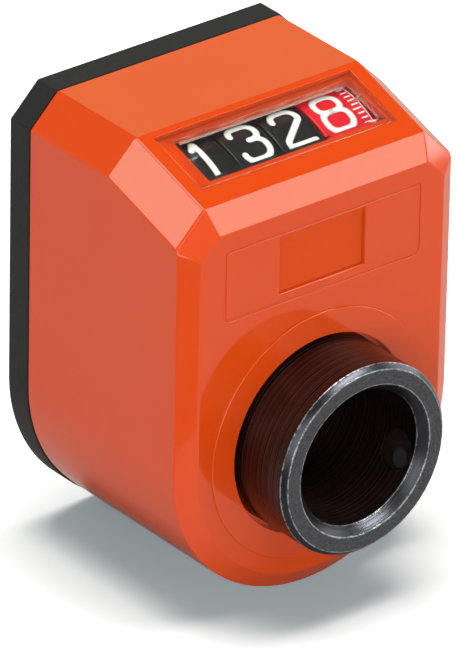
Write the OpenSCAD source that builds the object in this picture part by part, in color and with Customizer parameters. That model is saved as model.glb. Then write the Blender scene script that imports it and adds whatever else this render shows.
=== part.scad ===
// Mechanical position indicator with a four-digit drum counter.
// Origin on the bore axis at the rear face. X runs to the right, the front faces -Y, +Z is up.
// Depth is measured forward from the rear face, so a depth d lies at y = -d.

/* [Case] */
// Width of the case, and twice the radius of its round bottom
case_w = 33; // [32.6:0.1:33.4]
// Height of the flat top above the bore axis
top_z = 30.6; // [30.6:0.1:31]
// Depth of the front face
front_d = 26.5; // [26.5:0.1:27]
// Thickness of the side, top and front walls
wall = 2; // [1.8:0.1:2]
// Thickness of the sloped wall around the window
slope_wall = 1.6; // [1.5:0.05:1.6]
// Leg of the 45 degree bevel along the upper side edges
edge_bevel = 3.2; // [3:0.1:3.4]
// Depth taken by the window slope
slope_run = 10.2; // [10:0.1:10.4]
// Angle of the window slope below the horizontal
slope_angle = 17.8; // [17.5:0.1:18]
// Depth taken by the steep facet below the slope
brow_run = 1.4; // [1.3:0.1:1.5]
// Drop of the steep facet from the slope to the front face
brow_drop = 2.45; // [2.2:0.05:2.7]
// Inset of the front face bevel, seen from the front
front_bevel = 1.9; // [1.7:0.1:2.1]
// Depth of the front face bevel
front_bevel_d = 1.25; // [1.1:0.05:1.3]
// Leg of the cut corner of the front face
corner_leg = 1.95; // [1.8:0.05:2.1]
// Distance of the raised ring's edge from the front bevel
ring_inset = 1.65; // [1.4:0.05:2]
// Height of the raised ring
ring_h = 0.2; // [0.1:0.05:0.3]
// Gap seen around the bushing at the front
mouth_gap = 0.43; // [0.3:0.01:0.6]

/* [Front panels] */
// Distance of the wide outlined panel's ends from the front bevel
panel_inset = 2.8; // [2.6:0.1:3.1]
// Height of the wide panel
panel_h = 7.6; // [7.2:0.1:8]
// Distance of the wide panel below the upper edge of the front face
panel_drop = 1.88; // [1.6:0.02:2.1]
// Depth of the groove around the wide panel
groove_sink = 0.12; // [0.1:0.02:0.2]
// Width of the groove around the wide panel
groove_w = 0.25; // [0.2:0.05:0.3]
// Half width of the small bare plate
plate_half_w = 5.1; // [4.8:0.1:5.4]
// Height of the small plate
plate_h = 6; // [5.6:0.1:6.2]
// Distance of the small plate below the wide panel's upper edge
plate_drop = 0.6; // [0.4:0.05:0.8]
// Depth of the small plate below the front face
plate_sink = 0.55; // [0.4:0.05:0.7]

/* [Window] */
// Width of the ledge under the pane's right end
pane_ledge = 0.35; // [0.3:0.05:0.5]
// Distance of the pocket's upper edge from the top of the slope
pane_u0 = 0.65; // [0.6:0.05:0.8]
// Distance of the pocket's lower edge from the top of the slope
pane_u1 = 8.35; // [8.2:0.05:8.5]
// Depth of the pane pocket
pane_pocket = 1; // [0.9:0.05:1.05]
// Thickness of the pane
pane_t = 0.85; // [0.8:0.05:0.88]
// How far the clear opening reaches past the counter on the right
sight_over = 0.1; // [0:0.05:0.15]
// Upper edge of the clear opening on the slope
sight_u0 = 1.3; // [1.2:0.05:1.5]
// Lower edge of the clear opening on the slope
sight_u1 = 7.3; // [7.1:0.05:7.5]
// Place of the index pointers on the slope
index_u = 3.7; // [3.5:0.05:4]

/* [Rear] */
// Thickness of the foam gasket
gasket_t = 2.9; // [2.8:0.05:3]
// How far the gasket stands proud of the case outline
gasket_proud = 0.12; // [0.05:0.01:0.2]
// Thickness of the base plate
base_t = 1.5; // [1.3:0.05:1.6]
// Width of the rebate that seats the base plate
rebate = 0.8; // [0.6:0.05:0.9]
// Radius of the anti-rotation pin
pin_r = 3; // [2.5:0.1:3.2]
// Distance of the pin below the flat top
pin_drop = 8.6; // [8.1:0.1:9.1]
// Reach of the pin behind the rear face
pin_reach = 6; // [5:0.1:7]
// How much thicker the pin's root is
pin_root = 0.4; // [0.3:0.05:0.5]
// Half length of the taper from the root to the pin
pin_taper = 0.3; // [0.2:0.05:0.4]

/* [Bushing] */
// Radius of the bore
bore_r = 7; // [6.9:0.05:7]
// Wall of the front part
bushing_wall = 2.87; // [2.8:0.01:2.95]
// How much less the radius of the rear part is, under the drums
neck_step = 1.07; // [1.05:0.01:1.15]
// Depth of the front end
bushing_front_d = 33.5; // [33:0.1:34]
// Depth of the rear end
bushing_rear_d = 0; // [0:0.05:0.3]
// Radius of the grub screw
screw_r = 2; // [1.5:0.1:2.2]
// Distance of the grub screw's socket end below the bushing's outside
screw_sunk = 0.32; // [0.2:0.02:0.5]
// Distance of the grub screw's axis behind the front end
screw_setback = 3.3; // [3:0.1:3.6]
// Direction of the grub screw below the horizontal, on the right side
screw_angle = 20; // [15:1:25]

/* [Counter] */
// Gap between the drums and the bushing's neck
neck_gap = 0.65; // [0.6:0.01:0.68]
// Gap between the drums and the wall above or behind the front
drum_gap = 0.45; // [0.42:0.01:0.5]
// Gap between the drums and the base plate
base_gap = 1; // [0.95:0.01:1]
// Room that the gears on the left and right take up beside the counter
counter_margin = 4.3; // [4.26:0.02:4.3]
// Thickness of the carrier plates between the drums
carrier_t = 0.4; // [0.35:0.05:0.45]
// Gap between the units drum's rim and its gear
units_gap = 0.2; // [0.15:0.05:0.3]
// Radius of the drum axle
axle_r = 1.25; // [1.2:0.05:1.3]

/* [Gears] */
// Teeth of the crown gear
crown_teeth = 30; // [30]
// Teeth of the pinion that meets the crown gear
pinion_teeth = 12; // [12]
// How straight the spur train runs, 1 in one line
train_bend = 0.963327; // [0.961:0.000001:0.966]
// Teeth of the lay gear
lay_teeth = 12; // [12]
// Teeth of the idler
idler_teeth = 15; // [15]
// Teeth of the gear on the units drum
drum_teeth = 30; // [30]
// Distance of the transfer pinions inside the drum's surface
transfer_inset = 3.7; // [3.7:0.02:3.8]
// Teeth of the drum's transfer gear
transfer_teeth = 20; // [20]
// Teeth of a transfer pinion
transfer_pinion_teeth = 8; // [8]
// Height of the crown gear's pitch plane above the base plate
crown_lift = 2.6; // [2.55:0.05:2.65]
// Radius of the two gear pins
gear_pin_r = 0.8; // [0.7:0.05:0.85]

/* [Fits] */
// Radial play of a turning fit
run_play = 0.06; // [0.04:0.01:0.08]
// Radial play of the small turning fits
fine_play = 0.03; // [0.02:0.01:0.04]
// Play of a seated piece
seat_play = 0.05; // [0.03:0.01:0.08]

/* [Hidden] */
$fn = 96;

case_half = case_w / 2;
// Length that reaches past the whole object, for cuts
far = 2 * (case_w + front_d);
// Depths and heights of the slope's ends and of the front face's upper edge
brow_d = front_d - brow_run;
slope_start_d = brow_d - slope_run;
brow_z = top_z - slope_run * tan(slope_angle);
face_z = brow_z - brow_drop;
// Step between one bevel and the next, so that their corners stay apart
facet_step = 0.06;
// Inner space of the case
inner_half = case_half - wall;
inner_top = top_z - wall - 0.1;
inner_front_d = front_d - wall;
inner_bevel = 2;
base_front_d = gasket_t + base_t;
// Raised ring, mouth and panels of the front face
ring_r = case_half - front_bevel - ring_inset;
bushing_r = bore_r + bushing_wall;
neck_r = bushing_r - neck_step;
mouth_r = bushing_r + mouth_gap;
mouth_h = 1.5;
panel_half_w = case_half - front_bevel - panel_inset;
panel_z1 = face_z - panel_drop;
panel_z0 = panel_z1 - panel_h;
plate_z1 = panel_z1 - plate_drop;
plate_z0 = plate_z1 - plate_h;
pin_z = top_z - pin_drop;
// O-ring seals
seal_r = 0.5;
seal_play = 0.02;
seal_groove_half = 0.6;
rear_seal_d = gasket_t - 0.7;
// Front bearing inside the case, with the seal, the retaining ring and the bushing's shoulder in line
bearing_l = 5.3;
bearing_wall = 1.7;
ring_t = 0.55;
bearing_rear_d = front_d - bearing_l;
front_seal_d = (bearing_rear_d + front_d - mouth_h) / 2;
ring_groove_d = bearing_rear_d - ring_t - 0.25;
ring_groove_r = bushing_r - 0.57;
shoulder_d = ring_groove_d - 0.8;
screw_d = bushing_front_d - screw_setback;
screw_tip_gap = 0.15;
screw_l = bushing_wall - screw_tip_gap - screw_sunk;
// Size of the gear train, set by the room between the bushing's neck and the right wall
train_room = 5.7;
train_scale = (inner_half - neck_r) / train_room;
crown_face = 1.2 * train_scale;
crown_r = neck_r + 1.7 * train_scale;
crown_mod = 2 * crown_r / crown_teeth;
crown_d = base_front_d + crown_lift;
lay_d = crown_d + crown_mod * pinion_teeth / 2;
spur_x0 = crown_r + crown_face / 2 + 0.4 * train_scale;
spur_x1 = spur_x0 + 1.2 * train_scale;
cheek_x0 = spur_x1 + 0.3 * train_scale;
cheek_x1 = cheek_x0 + train_scale;
// Place and size of the drums, set by the room above the bushing and ahead of the base plate
drum_r = min(inner_top - drum_gap - neck_gap - neck_r,
    inner_front_d - drum_gap - base_gap - base_front_d) / 2;
drum_d = base_front_d + base_gap + drum_r;
drum_z = neck_r + neck_gap + drum_r;
drum_pitch = (inner_half - counter_margin) / 2;
left_cheek_x1 = -2 * drum_pitch - 1;
left_cheek_x0 = left_cheek_x1 - 1.4;
units_end = spur_x0 - units_gap;
// Clear opening and pane
sight_left = 2 * drum_pitch - 0.3;
sight_right = units_end + sight_over;
pane_half_w = sight_right + pane_ledge;
// Centre of the idler, where its two centre distances meet
to_drum = [drum_d - lay_d, drum_z];
span = norm(to_drum);
spur_mod = 2 * span / train_bend / (lay_teeth + 2 * idler_teeth + drum_teeth);
lay_to_idler = spur_mod * (lay_teeth + idler_teeth) / 2;
idler_to_drum = spur_mod * (idler_teeth + drum_teeth) / 2;
along = (lay_to_idler * lay_to_idler - idler_to_drum * idler_to_drum + span * span) / (2 * span);
aside = sqrt(lay_to_idler * lay_to_idler - along * along);
idler_at = [lay_d, 0] + to_drum / span * along + [-to_drum[1], to_drum[0]] / span * aside;
// Digit transfer inside the drums
transfer_span = drum_r - transfer_inset;
transfer_mod = 2 * transfer_span / (transfer_teeth + transfer_pinion_teeth);
transfer_reach = 1.05;
lock_r = transfer_span - 5.5 * transfer_mod;
lock_x = 1.3;
stub_r = 1.5 * transfer_mod;
// Phases of the meshing wheels
lay_phase = atan2(idler_at[1], idler_at[0] - lay_d);
idler_phase = meshed(lay_phase, lay_phase, lay_teeth, idler_teeth);
idler_direction = atan2(drum_z - idler_at[1], drum_d - idler_at[0]);
drum_phase = meshed(idler_direction, idler_phase, idler_teeth, drum_teeth);
transfer_phase = meshed(-90, -90, transfer_teeth, transfer_pinion_teeth);
// Drum rims
rim_gap = 0.15;
rim_w = drum_pitch - carrier_t - 2 * rim_gap;
rim_t = 1;
web_t = 1;
web_x = rim_w - web_t - 0.8;
hub_r = 2.4;
tenth = drum_pitch;
hundredth = 0;
thousandth = -drum_pitch;

// A point given by its place across, its depth and its height
function at(x, d, z) = [x, -d, z];

// Phase of a wheel that meshes with a wheel of known phase, lying in direction phi from it
function meshed(phi, phase, teeth_a, teeth_b) = phi + 180 - 180 / teeth_b + (phi - phase) * teeth_a / teeth_b;

// Angle whose tangent less itself unrolls an involute, in degrees
function involute(a) = tan(a) * 180 / PI - a;

// Half angle of a tooth at radius r
function tooth_half(r, pitch_r, teeth, slack) = let (
    base_r = pitch_r * cos(20),
    flank = acos(min(1, base_r / max(r, base_r))))
    90 / teeth - slack / pitch_r * 90 / PI + involute(20) - involute(flank);

// Outline of a spur wheel with involute flanks, thinned by slack at the pitch circle
function wheel_points(teeth, mod, slack) = let (
    pitch_r = mod * teeth / 2,
    radii = [pitch_r - 0.95 * mod, pitch_r - 0.35 * mod, pitch_r + 0.2 * mod, pitch_r + 0.75 * mod])
    [for (k = [0:teeth - 1]) for (side = [-1, 1]) for (i = [0:3]) let (
        r = radii[side < 0 ? i : 3 - i],
        a = 360 / teeth * k + side * tooth_half(r, pitch_r, teeth, slack)) [r * cos(a), r * sin(a)]];

// Sweeps a shape drawn across and up from depth d0 to depth d1
module in_depth(d0, d1) {
    rotate([90, 0, 0]) translate([0, 0, d0]) linear_extrude(d1 - d0) children();
}

// Sweeps a shape drawn in depth and height from x0 to x1
module across(x0, x1) {
    rotate([90, 0, -90]) translate([0, 0, -x1]) linear_extrude(x1 - x0) children();
}

// Turns a shape drawn in radius and depth around the bore axis
module turned() {
    rotate([90, 0, 0]) rotate_extrude() children();
}

// Turns a shape drawn in radius and x around the drum axis
module drum_turned() {
    translate(at(0, drum_d, drum_z)) rotate([0, 90, 0]) rotate_extrude() children();
}

// A spur wheel around a line along X through depth and height c
module wheel(c, teeth, mod, slack, phase, x0, x1) {
    across(x0, x1) translate(c) rotate(phase) polygon(wheel_points(teeth, mod, slack));
}

// A rod along X through depth and height c
module rod(c, r, x0, x1) {
    across(x0, x1) translate(c) circle(r);
}

// Everything beyond a plane through a point
module beyond(point, normal) {
    n = normal / norm(normal);
    translate(point) rotate([0, acos(n[2]), atan2(n[1], n[0])])
        translate([-far / 2, -far / 2, 0]) cube([far, far, far / 2]);
}

// Places children on the window slope: local y runs up the slope, local z points outward
module on_slope() {
    translate(at(0, slope_start_d, top_z)) rotate([slope_angle, 0, 0]) children();
}

// Upright outline with a round bottom and bevelled upper corners
module outline(half, top, bevel) {
    polygon([[-half, 0], [half, 0], [half, top - bevel], [half - bevel, top],
        [bevel - half, top], [-half, top - bevel]]);
    intersection() {
        circle(half);
        translate([-half - 1, -half - 1]) square([2 * half + 2, half + 1]);
    }
}

// Rectangle between two corners
module box_2d(x0, x1, z0, z1) {
    translate([x0, z0]) square([x1 - x0, z1 - z0]);
}

// Rectangle with rounded corners between two corners
module round_box_2d(x0, x1, z0, z1, r) {
    box_2d(x0 + r, x1 - r, z0, z1);
    box_2d(x0, x1, z0 + r, z1 - r);
    for (x = [x0 + r, x1 - r]) for (z = [z0 + r, z1 - r]) translate([x, z]) circle(r);
}

// Lower half of a shape turned around the bore axis
module lower_half() {
    intersection() {
        turned() children();
        translate([-far / 2, -far, -far]) cube([far, 2 * far, far]);
    }
}

// Outer form of the case above the bore axis, with every bevel cut
module case_upper() {
    bevel_x = case_half - edge_bevel;
    corner_tilt = (front_bevel + corner_leg - edge_bevel + brow_drop) / (front_d - brow_d);
    brow_fall = brow_drop / (front_d - brow_d);
    difference() {
        linear_extrude(top_z) polygon([
            [-case_half, -gasket_t], [-case_half, front_bevel_d - front_d], [front_bevel - case_half, -front_d],
            [case_half - front_bevel, -front_d], [case_half, front_bevel_d - front_d], [case_half, -gasket_t]]);
        across(-case_w, case_w) polygon([[slope_start_d - 9, top_z + 9 * tan(slope_angle)], [brow_d, brow_z],
            [front_d + 2, face_z - 2 * brow_fall], [front_d + 2, top_z + 9], [slope_start_d - 9, top_z + 9]]);
        for (side = [-1, 1]) {
            in_depth(0, front_d + 2) polygon([[side * (case_half + 2), top_z - edge_bevel - 2],
                [side * (bevel_x - 2), top_z + 2], [side * (case_half + 2), top_z + 2]]);
            beyond(at(side * (bevel_x - facet_step), slope_start_d, top_z), at(side, tan(slope_angle), 1));
            beyond(at(side * (bevel_x - 2 * facet_step), brow_d, brow_z), at(side, corner_tilt, 1));
        }
    }
}

// Round lower part of the case with its conical front bevel
module case_lower() {
    lower_half() polygon([[0, gasket_t], [case_half, gasket_t], [case_half, front_d - front_bevel_d],
        [case_half - front_bevel, front_d], [0, front_d]]);
}

// Inner space of the case
module case_space() {
    drop = slope_wall / cos(slope_angle);
    difference() {
        in_depth(gasket_t - 1, inner_front_d) outline(inner_half, inner_top, inner_bevel);
        beyond(at(0, slope_start_d, top_z - drop), at(0, sin(slope_angle), cos(slope_angle)));
        for (side = [-1, 1])
            beyond(at(side * (inner_half - inner_bevel - facet_step), slope_start_d, top_z - drop),
                at(side, tan(slope_angle), 1));
    }
}

module case() {
    color("#e2551f") difference() {
        union() {
            difference() {
                union() {
                    case_upper();
                    case_lower();
                }
                case_space();
            }
            in_depth(bearing_rear_d, front_d - 0.5) circle(bushing_r + bearing_wall);
            in_depth(front_d - 0.5, front_d + ring_h) circle(ring_r);
        }
        in_depth(bearing_rear_d - 1, front_d + 1) circle(bushing_r + run_play);
        in_depth(front_d - mouth_h, front_d + 1) circle(mouth_r);
        in_depth(front_seal_d - seal_groove_half, front_seal_d + seal_groove_half)
            circle(bushing_r + seal_play + 2 * seal_r + 0.02);
        in_depth(gasket_t - 1, base_front_d)
            outline(inner_half + rebate, inner_top + rebate, inner_bevel + rebate / 2);
        in_depth(front_d - groove_sink, front_d + 1) difference() {
            round_box_2d(-panel_half_w, panel_half_w, panel_z0, panel_z1, 0.6);
            round_box_2d(groove_w - panel_half_w, panel_half_w - groove_w, panel_z0 + groove_w,
                panel_z1 - groove_w, 0.6 - groove_w);
        }
        in_depth(front_d - plate_sink, front_d + 1)
            box_2d(-plate_half_w, plate_half_w, plate_z0, plate_z1);
        on_slope() {
            translate([-pane_half_w, -pane_u1, -pane_pocket])
                cube([2 * pane_half_w, pane_u1 - pane_u0, 4 * pane_pocket]);
            translate([-sight_left, -sight_u1, -2 * slope_wall])
                cube([sight_left + sight_right, sight_u1 - sight_u0, 4 * slope_wall]);
        }
    }
}

// Clear pane with a thin skirt in the opening and an index pointer at each end
module window() {
    skirt = 0.35;
    low = -slope_wall + 0.1;
    left = -sight_left + seat_play;
    right = sight_right - seat_play;
    near_u = sight_u1 - seat_play;
    far_u = sight_u0 + seat_play;
    color("#f3f6f7", 0.4) on_slope() {
        translate([-pane_half_w + seat_play, -pane_u1 + seat_play, -pane_pocket])
            cube([2 * (pane_half_w - seat_play), pane_u1 - pane_u0 - 2 * seat_play, pane_t]);
        difference() {
            translate([left, -near_u, low]) cube([right - left, near_u - far_u, pane_t - pane_pocket - low]);
            translate([left + skirt, -near_u + skirt, low - 1])
                cube([right - left - 2 * skirt, near_u - far_u - 2 * skirt, 1 - pane_pocket - low]);
        }
        for (x = [[left, 1.3], [right - 1, 1]])
            translate([x[0], -index_u - 0.15, low]) cube([x[1], 0.3, pane_t - pane_pocket - low]);
    }
}

// Moulded back: plate, rear bearing, two cheeks, keyways for the carriers and the anti-rotation pin
module rear_base() {
    collar_r = neck_r + 2.1;
    color("#26272a") difference() {
        union() {
            in_depth(gasket_t, base_front_d) outline(inner_half + rebate - seat_play,
                inner_top + rebate - seat_play, inner_bevel + rebate / 2);
            in_depth(0.6, gasket_t + 0.5) circle(collar_r);
            translate([0, 0, pin_z]) turned() polygon([[0, gasket_t + 0.5], [pin_r + pin_root, gasket_t + 0.5],
                [pin_r + pin_root, pin_taper], [pin_r, -pin_taper], [pin_r, 0.6 - pin_reach],
                [pin_r - 0.6, -pin_reach], [0, -pin_reach]]);
            across(left_cheek_x0, left_cheek_x1) {
                box_2d(base_front_d - 0.5, drum_d, drum_z - 2.8, drum_z + 2.8);
                translate([drum_d, drum_z]) circle(2.8);
            }
            rod([drum_d, drum_z], hub_r, left_cheek_x1 - 0.5, -2 * drum_pitch + 0.15);
            across(cheek_x0, cheek_x1) {
                box_2d(base_front_d - 0.5, drum_d, drum_z - 2.8, drum_z + 2.8);
                box_2d(base_front_d - 0.5, lay_d + 1, -2.2, drum_z);
                translate([drum_d, drum_z]) circle(2.8);
                translate([lay_d, 0]) circle(2.2);
            }
            for (x = [thousandth, hundredth, tenth])
                translate([x, 0, 0]) across(-0.9, 0.9)
                    box_2d(base_front_d - 0.5, base_front_d + 0.65, drum_z - 1.9, drum_z + 1.9);
        }
        in_depth(-1, base_front_d + 1) circle(neck_r + run_play);
        in_depth(rear_seal_d - seal_groove_half, rear_seal_d + seal_groove_half)
            circle(neck_r + seal_play + 2 * seal_r + 0.02);
        rod([drum_d, drum_z], axle_r, -case_w, case_w);
        rod([lay_d, 0], gear_pin_r, cheek_x0 - 1, cheek_x1 + 1);
        rod(idler_at, gear_pin_r, cheek_x0 - 1, cheek_x1 + 1);
        for (x = [thousandth, hundredth, tenth])
            translate([x, 0, 0]) across(-carrier_t / 2 - seat_play, carrier_t / 2 + seat_play)
                box_2d(base_front_d, base_front_d + 1, drum_z - 1.2 - seat_play, drum_z + 1.2 + seat_play);
    }
}

module rear_gasket() {
    color("#2c2d2f") difference() {
        in_depth(0, gasket_t) outline(case_half + gasket_proud, top_z + gasket_proud, edge_bevel);
        in_depth(-1, gasket_t + 1) circle(neck_r + 2.4);
        translate([0, 0, pin_z]) in_depth(-1, gasket_t + 1) circle(pin_r + pin_root + 0.15);
    }
}

// O-ring around a shaft of radius r
module seal(r, d) {
    color("#1b1b1c") turned() translate([r + seal_play + seal_r, d]) circle(seal_r, $fn = 32);
}

module front_seal() {
    seal(bushing_r, front_seal_d);
}

module rear_seal() {
    seal(neck_r, rear_seal_d);
}

module drum_shaft() {
    color("#b9bcc0") rod([drum_d, drum_z], axle_r, left_cheek_x0, cheek_x1);
}

module lay_pin() {
    color("#b9bcc0") rod([lay_d, 0], gear_pin_r, neck_r + 0.5, cheek_x1);
}

module idler_pin() {
    color("#b9bcc0") rod(idler_at, gear_pin_r, spur_x0 - 0.4, cheek_x1);
}

// Fixed plate between two drums, keyed to the base, with a stub for its transfer pinion
module carrier(x) {
    stub = [drum_d, drum_z - transfer_span];
    color("#303134") translate([x, 0, 0]) {
        across(-carrier_t / 2, carrier_t / 2) difference() {
            union() {
                translate([drum_d, drum_z]) circle(drum_r - 0.15);
                box_2d(base_front_d + 0.1, drum_d - drum_r + 2, drum_z - 1.2, drum_z + 1.2);
            }
            translate([drum_d, drum_z]) circle(transfer_mod * (transfer_teeth + 1.5) / 2 + 0.4);
        }
        rod(stub, stub_r, 0, carrier_t / 2 + web_x - 0.2);
    }
}

module carrier_tens() {
    carrier(tenth);
}

module carrier_hundreds() {
    carrier(hundredth);
}

module carrier_thousands() {
    carrier(thousandth);
}

// Hollow shaft with a stepped outside, chamfered ends, a ring groove and a radial thread
module bushing() {
    color("#2a2422") difference() {
        turned() polygon([
            [bore_r, bushing_rear_d], [neck_r - 0.3, bushing_rear_d], [neck_r, bushing_rear_d + 0.3],
            [neck_r, shoulder_d], [bushing_r - 0.3, shoulder_d], [bushing_r, shoulder_d + 0.3],
            [bushing_r, ring_groove_d], [ring_groove_r, ring_groove_d],
            [ring_groove_r, ring_groove_d + ring_t + 0.05], [bushing_r, ring_groove_d + ring_t + 0.05],
            [bushing_r, bushing_front_d - 0.55], [bushing_r - 0.5, bushing_front_d],
            [bore_r + 0.85, bushing_front_d], [bore_r, bushing_front_d - 0.95]]);
        rotate([0, screw_angle, 0]) translate([0, -screw_d, 0]) rotate([0, 90, 0])
            cylinder(r = screw_r + seat_play, h = case_w);
    }
}

// Socket set screw, its tip just clear of the bore
module grub_screw() {
    color("#3a3b3d") rotate([0, screw_angle, 0]) translate([bore_r + screw_tip_gap, -screw_d, 0])
        rotate([0, 90, 0]) difference() {
            cylinder(r = screw_r, h = screw_l);
            translate([0, 0, screw_l - 1.2]) cylinder(r = 0.577 * screw_r, h = 2, $fn = 6);
        }
}

// Ring with face teeth, pressed on the bushing's neck
module crown_gear() {
    tip = 0.75 * crown_mod;
    low = -0.95 * crown_mod - 0.3;
    half = 0.36;
    lean = tan(22);
    color("#d8d5c8") {
        turned() polygon([[neck_r, base_front_d + 0.3], [crown_r + crown_face / 2, base_front_d + 0.3],
            [crown_r + crown_face / 2, crown_d - 0.95 * crown_mod], [neck_r, crown_d - 0.95 * crown_mod]]);
        for (k = [0:crown_teeth - 1])
            rotate([0, 360 / crown_teeth * (k + 0.5), 0])
                across(crown_r - crown_face / 2, crown_r + crown_face / 2)
                    polygon([[crown_d + low, -half + lean * low], [crown_d + tip, -half + lean * tip],
                        [crown_d + tip, half - lean * tip], [crown_d + low, half - lean * low]]);
    }
}

// Open spring ring behind the front bearing
module retaining_ring() {
    color("#6d7074") difference() {
        turned() translate([ring_groove_r + 0.02, ring_groove_d + 0.02])
            square([1.7, ring_t - 0.02]);
        translate([-2, -ring_groove_d - 2, -bushing_r - 6]) cube([4, 4, 6]);
    }
}

// Pinion under the crown gear and the first wheel of the spur train, moulded as one
module lay_gear() {
    c = [lay_d, 0];
    color("#d8d5c8") difference() {
        union() {
            wheel(c, pinion_teeth, crown_mod, 0.1, 180, crown_r - crown_face / 2 - 0.15,
                crown_r + crown_face / 2 + 0.1);
            rod(c, spur_mod * lay_teeth / 2 - spur_mod * 0.95, crown_r, spur_x1);
            wheel(c, lay_teeth, spur_mod, 0.1, lay_phase, spur_x0, spur_x1);
        }
        rod(c, gear_pin_r + fine_play, 0, case_w);
    }
}

module idler_gear() {
    color("#d8d5c8") difference() {
        wheel(idler_at, idler_teeth, spur_mod, 0.1, idler_phase, spur_x0, spur_x1);
        rod(idler_at, gear_pin_r + fine_play, 0, case_w);
    }
}

// Rim, web and hub of a drum whose rim starts at x0, with its locking disc on the left
module drum_body(x0, x1, locked) {
    drum_turned() {
        translate([drum_r - rim_t, x0]) square([rim_t, x1 - x0]);
        translate([axle_r + fine_play, x0 + web_x]) square([drum_r - 0.2 - axle_r - fine_play, web_t]);
        translate([axle_r + fine_play, x0 + (locked ? lock_x : 0.1)])
            square([hub_r - axle_r - fine_play, rim_w - (locked ? lock_x : 0.1)]);
    }
    if (locked)
        across(x0 + lock_x, x0 + web_x + 0.2) translate([drum_d, drum_z]) difference() {
            circle(lock_r);
            circle(axle_r + 0.5);
            for (a = [-18, 0, 18]) rotate(a - 90) translate([lock_r + 0.1, 0]) circle(0.42);
        }
}

// Drum with a transfer gear that reaches through the carrier on its right
module number_drum(x0, locked) {
    drum_body(x0, x0 + rim_w, locked);
    difference() {
        wheel([drum_d, drum_z], transfer_teeth, transfer_mod, 0.1, -90, x0 + web_x + 0.5,
            x0 + drum_pitch + transfer_reach);
        rod([drum_d, drum_z], axle_r + fine_play, -case_w, case_w);
    }
}

module thousands_drum() {
    color("#1d1e20") number_drum(thousandth - drum_pitch + carrier_t / 2 + rim_gap, false);
}

module hundreds_drum() {
    color("#1d1e20") number_drum(thousandth + carrier_t / 2 + rim_gap, true);
}

module tens_drum() {
    color("#1d1e20") number_drum(hundredth + carrier_t / 2 + rim_gap, true);
}

// Red drum, driven by the spur wheel moulded on its right end
module units_drum() {
    color("#d11a2a") {
        drum_body(tenth + carrier_t / 2 + rim_gap, units_end, true);
        drum_turned() translate([axle_r + fine_play, tenth + web_x]) square([1.75, spur_x1 - tenth - web_x]);
        difference() {
            wheel([drum_d, drum_z], drum_teeth, spur_mod, 0.1, drum_phase, spur_x0, spur_x1);
            rod([drum_d, drum_z], axle_r + 0.5, -case_w, case_w);
        }
    }
}

// Pinion that passes the carry from one drum to the next
module transfer_pinion(x) {
    c = [drum_d, drum_z - transfer_span];
    x0 = x + carrier_t / 2 + 0.12;
    color("#e8e5da") difference() {
        wheel(c, transfer_pinion_teeth, transfer_mod, 0.1, transfer_phase, x0, x0 + web_x - 0.25);
        rod(c, stub_r + fine_play, -case_w, case_w);
    }
}

module pinion_tens() {
    transfer_pinion(tenth);
}

module pinion_hundreds() {
    transfer_pinion(hundredth);
}

module pinion_thousands() {
    transfer_pinion(thousandth);
}

case();
window();
rear_base();
rear_gasket();
front_seal();
rear_seal();
drum_shaft();
lay_pin();
idler_pin();
carrier_tens();
carrier_hundreds();
carrier_thousands();
bushing();
grub_screw();
crown_gear();
retaining_ring();
lay_gear();
idler_gear();
units_drum();
tens_drum();
hundreds_drum();
thousands_drum();
pinion_tens();
pinion_hundreds();
pinion_thousands();
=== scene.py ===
import math

import bmesh
import bpy
from mathutils import Matrix, Vector
from mathutils.bvhtree import BVHTree


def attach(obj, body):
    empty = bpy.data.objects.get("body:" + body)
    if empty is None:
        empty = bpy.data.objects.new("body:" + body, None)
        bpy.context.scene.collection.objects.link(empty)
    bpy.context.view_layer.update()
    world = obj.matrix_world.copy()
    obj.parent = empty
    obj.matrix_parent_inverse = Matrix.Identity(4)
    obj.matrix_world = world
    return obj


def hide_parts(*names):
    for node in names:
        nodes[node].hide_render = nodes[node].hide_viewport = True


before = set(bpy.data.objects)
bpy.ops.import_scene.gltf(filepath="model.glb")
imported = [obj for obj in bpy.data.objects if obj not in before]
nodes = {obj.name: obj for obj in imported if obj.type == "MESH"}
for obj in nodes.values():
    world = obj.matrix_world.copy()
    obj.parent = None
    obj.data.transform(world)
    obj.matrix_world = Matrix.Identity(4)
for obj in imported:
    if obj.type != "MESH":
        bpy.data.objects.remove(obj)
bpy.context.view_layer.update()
mm = 0.001
print("frame loaded,", len(nodes), "nodes")


# small helpers

def hexColour(code):
    parts = [int(code[i:i + 2], 16) / 255 for i in (1, 3, 5)]
    return [p / 12.92 if p <= 0.04045 else ((p + 0.055) / 1.055) ** 2.4 for p in parts] + [1.0]


def perSize(size):
    return 1 / (size * mm)  # texture scale for a feature of that many millimetres


def add(tree, kind, settings=None, inputs=None):
    node = tree.nodes.new(kind)
    for key, value in (settings or {}).items():
        setattr(node, key, value)
    for key, value in (inputs or {}).items():
        if isinstance(value, bpy.types.NodeSocket):
            tree.links.new(value, node.inputs[key])
        else:
            node.inputs[key].default_value = value
    return node


def newMaterial(name):
    material = bpy.data.materials.new(name)
    material.use_nodes = True
    material.node_tree.nodes.clear()
    return material, material.node_tree


def onlySelect(obj):
    active = bpy.context.view_layer.objects.active
    if active and active.mode != "OBJECT":
        bpy.ops.object.mode_set(mode="OBJECT")
    bpy.ops.object.select_all(action="DESELECT")
    obj.select_set(True)
    bpy.context.view_layer.objects.active = obj


def paint(obj, material):
    obj.data.materials.clear()
    obj.data.materials.append(material)


flatWithin = 0.4  # degrees, faces that turn less than this count as one flat area
probeSteps = {"aside": 0.05, "ahead": 0.02}  # mm, where the look outwards beside an edge starts


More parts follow.
